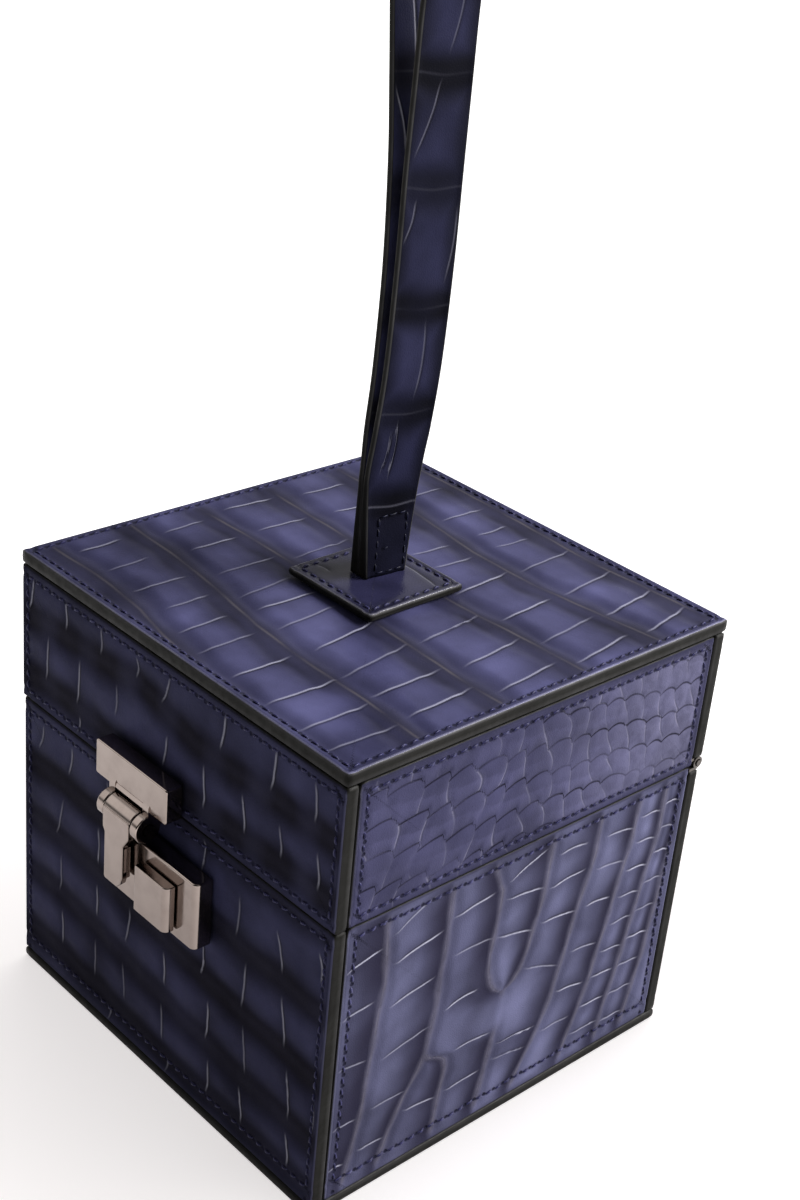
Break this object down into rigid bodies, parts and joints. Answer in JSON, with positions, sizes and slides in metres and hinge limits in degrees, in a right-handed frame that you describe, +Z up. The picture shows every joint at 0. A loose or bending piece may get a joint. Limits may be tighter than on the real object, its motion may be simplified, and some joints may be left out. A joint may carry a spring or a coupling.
{
  "type": "vanity case handbag",
  "caption": "Cube-shaped hard handbag in embossed leather with a hinged lid, a slide lock with a hanging hasp and an upright wrist strap.",
  "frame": {"origin": "middle of the underside, on the surface that the case stands on", "axes": "+Z up, the lock faces -Y, +X is right seen from the front"},
  "size_m": [0.12, 0.1298, 0.3005],
  "materials": {
    "croc_leather": "embossed, semi-gloss, edges painted black",
    "strap_leather": "embossed, semi-gloss, edges painted black",
    "nickel": "polished pale nickel"
  },
  "bodies": {
    "case": {"base_panel": "croc_leather", "body_front": "croc_leather", "body_back": "croc_leather", "body_left": "croc_leather", "body_right": "croc_leather", "lock_case": "nickel", "hinge_leaf_body": "nickel", "hinge_pin": "nickel"},
    "lid": {"lid_top": "croc_leather", "lid_front": "croc_leather", "lid_back": "croc_leather", "lid_left": "croc_leather", "lid_right": "croc_leather", "strap_tab": "strap_leather", "wrist_strap": "strap_leather", "hasp_plate": "nickel", "hasp_pin": "nickel", "hinge_leaf_lid": "nickel"},
    "hasp": {"hasp": "nickel"},
    "slide": {"lock_slide": "nickel"}
  },
  "joints": [
    {"name": "lid_hinge", "type": "hinge", "parent": "case", "child": "lid", "pos_m": [0, 0.0592, 0.0806], "axis": [-1, 0, 0], "range_deg": [0, 105]},
    {"name": "hasp_hinge", "type": "hinge", "parent": "lid", "child": "hasp", "pos_m": [-0.00685, -0.0653, 0.0765], "axis": [-1, 0, 0], "range_deg": [0, 120]},
    {"name": "lock_slide_travel", "type": "slide", "parent": "case", "child": "slide", "axis": [1, 0, 0], "range_m": [0, 0.004], "stiffness_N_per_m": 200}
  ]
}
